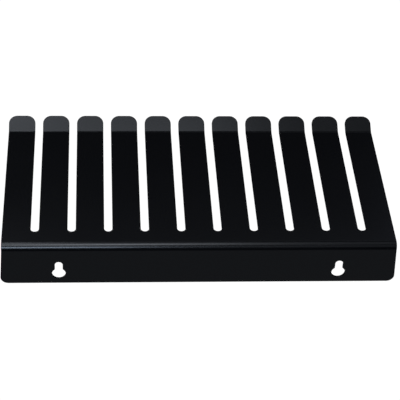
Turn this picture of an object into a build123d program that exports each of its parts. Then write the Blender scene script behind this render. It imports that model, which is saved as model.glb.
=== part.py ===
"""Wall rack for patch leads: one blank of sheet steel, cut, folded and powder coated.

X runs along the rack, from its middle. Y points out from the wall, which is the plane Y = 0.
Z points up, from the line through the two points where the wall screws sit in their keyholes.
"""
from build123d import *
import os
from math import cos, radians, sin

# Overall sizes, in millimetres. The width is the shelf's, where the fingers are.
rack_width = 304.8
rack_depth = 157.0
flange_height = 38.1

# Sheet and folds
sheet_thickness = 1.9
fold_inner_radius = 3.8

# Slots for the leads, open at the front and round at the wall end
slot_count = 10
slot_width = 6.35
slot_end_from_wall = 17.4

# Upturned tips of the fingers
tip_length = 14.8
tip_angle = 27.0
tip_corner_radius = 7.0
tip_flat_between_corners = 1.0

# Flange, whose ends flare out below the fold, and its two keyholes, with the wide entry below the neck
flange_flare = 1.9
flange_corner_radius = 6.4
keyhole_inset = 43.5
entry_diameter = 10.5
neck_width = 6.0
neck_rise = 9.0
entry_above_flange_edge = 9.8

# Places worked out from the sizes above
flange_bottom = -(neck_rise + entry_above_flange_edge)
shelf_top = flange_bottom + flange_height
fold_bottom = shelf_top - fold_inner_radius - sheet_thickness
tip_out = tip_length * cos(radians(tip_angle))
tip_up = tip_length * sin(radians(tip_angle))
tip_underside_out = sheet_thickness * sin(radians(tip_angle))
tip_fold = rack_depth - tip_out - tip_underside_out
half_width = rack_width / 2
finger_width = (rack_width - slot_count * slot_width) / (slot_count + 1)
slot_spacing = finger_width + slot_width
slot_reach = rack_depth - slot_end_from_wall
keyhole_spacing = rack_width - 2 * keyhole_inset
corner_room = (finger_width - tip_flat_between_corners) / 2

os.makedirs("parts", exist_ok=True)

with BuildPart() as rack_plate:
    # The folded profile: flange, shelf and tips, drawn along the sheet's outer and upper side
    with BuildSketch(Plane.YZ):
        with BuildLine():
            FilletPolyline(
                (0, flange_bottom),
                (0, shelf_top),
                (tip_fold, shelf_top),
                (tip_fold + tip_out, shelf_top + tip_up),
                radius=[fold_inner_radius + sheet_thickness, fold_inner_radius],
            )
            offset(amount=sheet_thickness, side=Side.RIGHT)
        make_face()
    extrude(amount=half_width, both=True)

    # The flange again, wider towards its lower edge than the fold
    with BuildSketch(Plane.XZ):
        with BuildLine():
            Polyline(
                (-half_width, fold_bottom),
                (half_width, fold_bottom),
                (half_width + flange_flare, flange_bottom),
                (-half_width - flange_flare, flange_bottom),
                close=True,
            )
        make_face()
    extrude(amount=-sheet_thickness)

    # Slots, cut down through the shelf and out past the tips
    with BuildSketch(Plane.XY.offset(shelf_top + tip_up)):
        with Locations((0, slot_end_from_wall + slot_width / 2)):
            with GridLocations(slot_spacing, 0, slot_count, 1):
                Circle(slot_width / 2)
                Rectangle(slot_width, slot_reach, align=(Align.CENTER, Align.MIN))
    extrude(amount=-(tip_up + 2 * sheet_thickness), mode=Mode.SUBTRACT)

    # Round corners on every tip, square to the bent-up sheet
    across_tip = Vector(0, -sin(radians(tip_angle)), cos(radians(tip_angle)))
    tip_corners = rack_plate.edges().filter_by(Axis((0, 0, 0), across_tip))
    fillet(tip_corners, radius=min(tip_corner_radius, corner_room))

    # Round lower corners on the flange
    flange_corners = rack_plate.edges().filter_by(Axis.Y).group_by(Axis.Z)[0]
    fillet(flange_corners, radius=flange_corner_radius)

    # Keyholes, cut through the flange from the wall side
    with BuildSketch(Plane.XZ):
        with Locations((-keyhole_spacing / 2, 0), (keyhole_spacing / 2, 0)):
            Circle(neck_width / 2)
            Rectangle(neck_width, neck_rise, align=(Align.CENTER, Align.MAX))
        with Locations((-keyhole_spacing / 2, -neck_rise), (keyhole_spacing / 2, -neck_rise)):
            Circle(entry_diameter / 2)
    extrude(amount=-sheet_thickness, mode=Mode.SUBTRACT)

rack_plate.part.label = "rack_plate"
export_step(rack_plate.part, "parts/rack_plate.step")
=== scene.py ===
"""Looks for a wall rack that patch leads hang from.

The rack is made here the way a sheet metal shop makes it: a flat blank is cut, its edges are rounded,
and it is folded twice, down for the wall flange and up for the finger tips.
X runs along the rack, Y points out from the wall, and Z points up. Units are metres.
"""
from math import asin, cos, pi, radians, sin, tan

import bmesh
import bpy
from mathutils import Matrix, Vector


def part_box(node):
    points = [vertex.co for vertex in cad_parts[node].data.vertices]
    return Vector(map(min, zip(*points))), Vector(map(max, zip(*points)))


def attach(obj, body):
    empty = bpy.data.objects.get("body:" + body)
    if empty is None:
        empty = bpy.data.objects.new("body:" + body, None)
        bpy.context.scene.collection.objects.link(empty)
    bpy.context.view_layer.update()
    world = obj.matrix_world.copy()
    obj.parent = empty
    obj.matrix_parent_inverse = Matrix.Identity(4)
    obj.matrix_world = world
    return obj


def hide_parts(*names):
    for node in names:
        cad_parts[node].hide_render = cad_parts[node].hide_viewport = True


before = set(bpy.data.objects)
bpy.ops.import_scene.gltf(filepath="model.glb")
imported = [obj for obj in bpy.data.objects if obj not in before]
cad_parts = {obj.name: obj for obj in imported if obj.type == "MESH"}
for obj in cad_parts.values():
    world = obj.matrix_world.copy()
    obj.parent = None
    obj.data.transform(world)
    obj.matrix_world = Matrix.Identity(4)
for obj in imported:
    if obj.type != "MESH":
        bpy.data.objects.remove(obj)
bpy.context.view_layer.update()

MM = 0.001
rack_low, rack_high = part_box("rack_plate")

# The sheet, its cuts and its folds
HALF_WIDTH = 152.4 * MM
SHEET = 1.9 * MM
FOLD_RADIUS = 3.8 * MM
SLOT_COUNT = 10
SLOT_WIDTH = 6.35 * MM
SLOT_END = 17.4 * MM
TIP_LENGTH = 14.8 * MM
TIP_ANGLE = radians(27)
TIP_CORNER = 7.0 * MM
FLANGE_FLARE = 1.9 * MM
FLANGE_CORNER = 6.4 * MM
KEYHOLE_INSET = 43.5 * MM
ENTRY_RADIUS = 5.25 * MM
NECK_RADIUS = 3.0 * MM
NECK_RISE = 9.0 * MM
EDGE_ROUND = 0.6 * MM

# How finely round shapes are divided
CORNER_STEPS = 14
KEYHOLE_STEPS = 40
FLANGE_FOLD_STEPS = 24
TIP_FOLD_STEPS = 8
EDGE_STEPS = 3

# Two points closer than this are one
SAME_POINT = 0.01 * MM

# The coat's orange peel, its grain and the slow drift of its gloss
PEEL_SPACING = 2.5 * MM
PEEL_DEPTH = 0.004 * MM
GRAIN_SPACING = 0.5 * MM
GRAIN_DEPTH = 0.0008 * MM
DRIFT_SPACING = 60 * MM
COAT_ROUGHNESS = (0.2, 0.22)

# The studio: how bright the white floor and walls look, and how dim the walls are in the gloss
WHITE_SEEN = 1.05
WALLS_IN_GLOSS = 0.005
FLOOR_SIZE = 15
FLOOR_DROP = 1.4

# Places worked out from the frame's box and the sizes above. The blank lies flat at the shelf's height.
finger_width = (2 * HALF_WIDTH - SLOT_COUNT * SLOT_WIDTH) / (SLOT_COUNT + 1)
shelf_top = rack_high.z - TIP_LENGTH * sin(TIP_ANGLE)
outer_radius = FOLD_RADIUS + SHEET
flange_fold_length = outer_radius * pi / 2
flange_fold_end = outer_radius - flange_fold_length
blank_back = flange_fold_end - (shelf_top - outer_radius - rack_low.z)
tip_setback = FOLD_RADIUS * tan(TIP_ANGLE / 2)
tip_fold_corner = rack_high.y - TIP_LENGTH * cos(TIP_ANGLE) - SHEET * sin(TIP_ANGLE)
tip_fold_start = tip_fold_corner - tip_setback
tip_fold_length = FOLD_RADIUS * TIP_ANGLE
blank_front = tip_fold_start + tip_fold_length + TIP_LENGTH - tip_setback
# The screws sit at Z = 0 in the finished rack
keyhole_seat = flange_fold_end - (shelf_top - outer_radius)


def comb_outline():
    """The blank's corners, anticlockwise from above, with every slot and finger still square."""
    corners = [(HALF_WIDTH + FLANGE_FLARE, blank_back), (HALF_WIDTH, flange_fold_end)]
    corners += [(HALF_WIDTH, blank_front)]
    for finger in range(SLOT_COUNT):
        slot_right = HALF_WIDTH - finger_width - finger * (finger_width + SLOT_WIDTH)
        slot_left = slot_right - SLOT_WIDTH
        corners += [(slot_right, blank_front), (slot_right, SLOT_END)]
        corners += [(slot_left, SLOT_END), (slot_left, blank_front)]
    corners += [(-HALF_WIDTH, blank_front), (-HALF_WIDTH, flange_fold_end)]
    return corners + [(-HALF_WIDTH - FLANGE_FLARE, blank_back)]


def round_corners(bm, y, radius):
    """Rounds each square corner of the flat blank that stands at this Y."""
    corners = [v for v in bm.verts if abs(v.co.y - y) < SAME_POINT]
    bmesh.ops.bevel(bm, geom=corners, offset=radius, offset_type="OFFSET", segments=CORNER_STEPS,
                    profile=0.5, affect="VERTICES", clamp_overlap=False, material=-1)


def spin_arc(bm, start, centre, angle, steps):
    """Draws an arc of edges anticlockwise from a vertex and gives the arc's last vertex."""
    arc = bmesh.ops.spin(bm, geom=[start], cent=centre, axis=(0, 0, 1), dvec=(0, 0, 0),
                         angle=angle, space=Matrix(), steps=steps, use_merge=False)
    return next(part for part in arc["geom_last"] if isinstance(part, bmesh.types.BMVert))


def cut_keyhole(bm, x):
    """Draws a keyhole: round the screw head's entry, up the neck's side and round the neck's end.

    The flange still points back along the flat blank, so the neck is on the entry's +Y side.
    """
    seat = Vector((x, keyhole_seat, shelf_top))
    entry = seat - Vector((0, NECK_RISE, 0))
    mouth = asin(NECK_RADIUS / ENTRY_RADIUS)
    left_of_mouth = bm.verts.new(entry + ENTRY_RADIUS * Vector((-sin(mouth), cos(mouth), 0)))
    right_of_mouth = spin_arc(bm, left_of_mouth, entry, 2 * (pi - mouth), KEYHOLE_STEPS)
    neck_side = bm.verts.new(seat + Vector((NECK_RADIUS, 0, 0)))
    bm.edges.new((right_of_mouth, neck_side))
    neck_other_side = spin_arc(bm, neck_side, seat, pi, KEYHOLE_STEPS // 2)
    bm.edges.new((neck_other_side, left_of_mouth))


def fold(bm, start, way, length, pivot_z, angle, steps):
    """Folds what lies past a line across the sheet, out along -Y or +Y as way is -1 or 1.

    The strip of this length past the line becomes the fold, which turns about the pivot.
    """
    for step in range(steps + 1):
        line = Vector((0, start + way * length * step / steps, 0))
        bmesh.ops.bisect_plane(bm, geom=bm.verts[:] + bm.edges[:] + bm.faces[:], dist=0.001 * MM,
                               plane_co=line, plane_no=(0, 1, 0))
    pivot = Vector((0, start, pivot_z))
    for vert in bm.verts:
        past = way * (vert.co.y - start)
        if past > 0:
            turn = Matrix.Rotation(angle * min(past / length, 1), 3, "X")
            vert.co.y = start + way * max(past - length, 0)
            vert.co = pivot + turn @ (vert.co - pivot)


def make_rack():
    """Cuts the blank, gives it its thickness and rounded edges, and folds it."""
    bm = bmesh.new()
    bm.faces.new([bm.verts.new((x, y, shelf_top)) for x, y in comb_outline()])
    round_corners(bm, blank_front, TIP_CORNER)
    round_corners(bm, SLOT_END, SLOT_WIDTH / 2)
    round_corners(bm, blank_back, FLANGE_CORNER)
    bmesh.ops.remove_doubles(bm, verts=bm.verts[:], dist=SAME_POINT)
    bmesh.ops.delete(bm, geom=bm.faces[:], context="FACES_ONLY")
    for side in (-1, 1):
        cut_keyhole(bm, side * (HALF_WIDTH - KEYHOLE_INSET))
    bmesh.ops.triangle_fill(bm, use_beauty=True, edges=bm.edges[:], normal=(0, 0, 1))
    bmesh.ops.dissolve_limit(bm, angle_limit=radians(1), verts=bm.verts[:], edges=bm.edges[:])

    extruded = bmesh.ops.extrude_face_region(bm, geom=bm.faces[:])["geom"]
    underside = [part for part in extruded if isinstance(part, bmesh.types.BMVert)]
    bmesh.ops.translate(bm, vec=(0, 0, -SHEET), verts=underside)
    bmesh.ops.recalc_face_normals(bm, faces=bm.faces[:])
    rims = [edge for edge in bm.edges if edge.calc_face_angle() > radians(60)]
    bmesh.ops.bevel(bm, geom=rims, offset=EDGE_ROUND, offset_type="OFFSET", segments=EDGE_STEPS,
                    profile=0.5, affect="EDGES", clamp_overlap=True, material=-1)

    fold(bm, tip_fold_start, 1, tip_fold_length, shelf_top + FOLD_RADIUS, TIP_ANGLE, TIP_FOLD_STEPS)
    fold(bm, outer_radius, -1, flange_fold_length, shelf_top - outer_radius, pi / 2, FLANGE_FOLD_STEPS)
    for face in bm.faces:
        face.smooth = True

    mesh = bpy.data.meshes.new("folded_rack")
    bm.to_mesh(mesh)
    bm.free()
    rack = bpy.data.objects.new("folded_rack", mesh)
    bpy.context.scene.collection.objects.link(rack)
    flats = rack.modifiers.new("keep_flats_flat", "WEIGHTED_NORMAL")
    flats.mode = "FACE_AREA"
    flats.weight = 100
    return rack


def linear(hex_colour):
    """An sRGB hex colour as linear red, green, blue and alpha."""
    channels = [int(hex_colour[i:i + 2], 16) / 255 for i in (1, 3, 5)]
    return [c / 12.92 if c <= 0.04045 else ((c + 0.055) / 1.055) ** 2.4 for c in channels] + [1]


def add_node(tree, kind, links=None, values=None, **settings):
    """Adds a node with its settings, its sockets' values and the links into it."""
    node = tree.nodes.new(kind)
    for name, setting in settings.items():
        setattr(node, name, setting)
    for name, value in (values or {}).items():
        node.inputs[name].default_value = value
    for name, output in (links or {}).items():
        tree.links.new(output, node.inputs[name])
    return node


def new_material(name):
    material = bpy.data.materials.new(name)
    material.use_nodes = True
    material.node_tree.nodes.clear()
    return material, material.node_tree


def satin_powder_coat():
    """Black polyester powder, baked on: an even satin skin with a faint orange peel and no brush marks."""
    material, tree = new_material("satin_black_powder_coat")
    place = add_node(tree, "ShaderNodeTexCoord")
    # Orange peel: shallow waves about 2.5 mm apart, where the melted powder levelled out
    peel = add_node(tree, "ShaderNodeTexNoise", {"Vector": place.outputs["Object"]},
                    {"Scale": 1 / PEEL_SPACING, "Detail": 2, "Roughness": 0.45})
    # Grain: cured powder specks, 0.1 mm across on the real coat, drawn at 0.5 mm so that they show
    grain = add_node(tree, "ShaderNodeTexNoise", {"Vector": place.outputs["Object"]},
                     {"Scale": 1 / GRAIN_SPACING, "Detail": 1})
    waves = add_node(tree, "ShaderNodeBump", {"Height": peel.outputs["Fac"]},
                     {"Strength": 1, "Distance": PEEL_DEPTH})
    skin = add_node(tree, "ShaderNodeBump",
                    {"Height": grain.outputs["Fac"], "Normal": waves.outputs["Normal"]},
                    {"Strength": 1, "Distance": GRAIN_DEPTH})
    # The gloss wanders a little over a hand's width, as the powder's thickness does
    drift = add_node(tree, "ShaderNodeTexNoise", {"Vector": place.outputs["Object"]},
                     {"Scale": 1 / DRIFT_SPACING, "Detail": 2})
    roughness = add_node(tree, "ShaderNodeMapRange", {"Value": drift.outputs["Fac"]},
                         {"From Min": 0.3, "From Max": 0.7,
                          "To Min": COAT_ROUGHNESS[0], "To Max": COAT_ROUGHNESS[1]})
    coat = add_node(tree, "ShaderNodeBsdfPrincipled",
                    {"Roughness": roughness.outputs["Result"], "Normal": skin.outputs["Normal"]},
                    {"Base Color": linear("#101012"), "IOR": 1.5})
    add_node(tree, "ShaderNodeOutputMaterial", {"Surface": coat.outputs["BSDF"]})
    return material


def lit_acrylic():
    """Opal acrylic table top, lit from below: an even white that takes no shadow."""
    material, tree = new_material("opal_acrylic")
    glow = add_node(tree, "ShaderNodeEmission", values={"Color": linear("#ffffff"), "Strength": WHITE_SEEN})
    add_node(tree, "ShaderNodeOutputMaterial", {"Surface": glow.outputs["Emission"]})
    return material


def make_floor():
    """A pale floor far enough below the rack to catch none of its shadow."""
    bm = bmesh.new()
    bmesh.ops.create_grid(bm, x_segments=1, y_segments=1, size=FLOOR_SIZE)
    bmesh.ops.translate(bm, vec=(0, 0, -FLOOR_DROP), verts=bm.verts[:])
    mesh = bpy.data.meshes.new("floor")
    bm.to_mesh(mesh)
    bm.free()
    floor = bpy.data.objects.new("floor", mesh)
    floor.data.materials.append(lit_acrylic())
    bpy.context.scene.collection.objects.link(floor)
    floor.visible_glossy = False
    floor.visible_diffuse = False


def make_softbox(name, place, aim, width, height, glow, colour="#ecf4ff"):
    """A soft rectangular light at a place, turned to face a point. Its glow is its brightness per area."""
    lamp = bpy.data.lights.new(name, "AREA")
    lamp.shape = "RECTANGLE"
    lamp.size = width
    lamp.size_y = height
    lamp.energy = pi * width * height * glow
    lamp.color = linear(colour)[:3]
    softbox = bpy.data.objects.new(name, lamp)
    softbox.location = place
    softbox.rotation_euler = (Vector(aim) - Vector(place)).to_track_quat("-Z", "Y").to_euler()
    softbox.visible_camera = False
    bpy.context.scene.collection.objects.link(softbox)


def make_world():
    """A white studio to look at, whose far walls stay dim in the rack's gloss."""
    world = bpy.data.worlds.new("studio")
    world.use_nodes = True
    tree = world.node_tree
    tree.nodes.clear()
    ray = add_node(tree, "ShaderNodeLightPath")
    white = linear("#ffffff")
    seen = add_node(tree, "ShaderNodeBackground", values={"Color": white, "Strength": WHITE_SEEN})
    felt = add_node(tree, "ShaderNodeBackground", values={"Color": white, "Strength": WALLS_IN_GLOSS})
    both = add_node(tree, "ShaderNodeMixShader", {"Fac": ray.outputs["Is Camera Ray"]})
    tree.links.new(felt.outputs["Background"], both.inputs[1])
    tree.links.new(seen.outputs["Background"], both.inputs[2])
    add_node(tree, "ShaderNodeOutputWorld", {"Surface": both.outputs["Shader"]})
    bpy.context.scene.world = world


def make_camera(aim, azimuth, elevation, roll, distance, lens):
    """A camera that looks at a point from this azimuth and elevation, in degrees."""
    turn, rise = radians(azimuth), radians(elevation)
    back = Vector((sin(turn) * cos(rise), -cos(turn) * cos(rise), sin(rise)))
    data = bpy.data.cameras.new("camera")
    data.lens = lens
    camera = bpy.data.objects.new("camera", data)
    level = (-back).to_track_quat("-Z", "Y").to_matrix().to_4x4()
    place = Matrix.Translation(Vector(aim) + distance * back)
    camera.matrix_world = place @ level @ Matrix.Rotation(radians(roll), 4, "Z")
    bpy.context.scene.collection.objects.link(camera)
    bpy.context.scene.camera = camera


rack = make_rack()
rack.data.materials.append(satin_powder_coat())
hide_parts("rack_plate")
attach(rack, "root")

make_floor()
make_world()
# Overhead lights, whose gloss shows on the finger tips and along the top of the fold
make_softbox("overhead_lamp", (-0.11, -0.24, 1), (-0.11, -0.24, 0), 0.26, 0.28, 4.6)
make_softbox("overhead_diffuser", (-0.205, -0.175, 1), (-0.205, -0.175, 0), 0.69, 0.65, 1.3)
make_softbox("overhead_left", (-0.35, 0.3, 1), (-0.35, 0.3, 0), 0.4, 0.4, 2.3)
make_softbox("overhead_middle", (-0.025, 0.175, 1), (-0.025, 0.175, 0), 0.25, 0.25, 0.5)
make_softbox("overhead_right", (0.37, -0.1, 1), (0.37, -0.1, 0), 0.46, 0.8, 0.22)
# A window beside the camera, whose gloss shows along the lower half of the fold
make_softbox("window_top", (-0.225, -0.72, 0.69), (-0.225, 0, 0), 0.35, 0.28, 2.3, "#d3e7ff")
make_softbox("window_bottom", (-0.225, -0.82, 0.57), (-0.225, 0, 0), 0.35, 0.24, 6.2, "#d3e7ff")
make_softbox("window_wall", (-0.325, -0.77, 0.64), (-0.325, 0, 0), 0.75, 0.42, 0.35)
make_softbox("camera_wall", (0.475, -0.78, 0.63), (0.475, 0, 0), 0.85, 0.52, 0.18)
# The far wall and ceiling, whose gloss shows on the shelf and fingers
make_softbox("far_ceiling", (-0.2, 0.97, 1.14), (-0.2, 0, 0), 1.4, 0.29, 0.21)
make_softbox("far_wall_left", (-0.7, 0.98, 1.13), (-0.7, 0, 0), 1.0, 0.26, 0.19)
make_softbox("far_wall_right", (0.85, 1.08, 1.04), (0.85, 0, 0), 0.7, 0.42, 0.35, "#d8e2ff")
make_softbox("far_wall_low", (0, 1.4, 0.4), (0, 0.1, 0), 2.0, 0.4, 0.05)
# The side walls and the floor, whose gloss shows on the ends, the underside and the flange
make_softbox("right_wall", (1.3, 0, 0.45), (0, 0.05, 0), 1.2, 0.7, 0.8)
make_softbox("left_wall", (-1.3, 0.1, 0.45), (0, 0.05, 0), 1.2, 0.7, 0.3)
make_softbox("floor_under", (0, 0.5, -1), (0, 0.05, 0), 1.6, 0.9, 0.3)
make_softbox("near_floor", (0.1, -0.77, -0.64), (0.1, 0, 0), 1.9, 0.63, 0.15)
make_camera((2.2 * MM, 54.4 * MM, shelf_top), -5.315, 40.171, 3.324, 1.169, 132.53)
bpy.context.scene.view_settings.view_transform = "Standard"
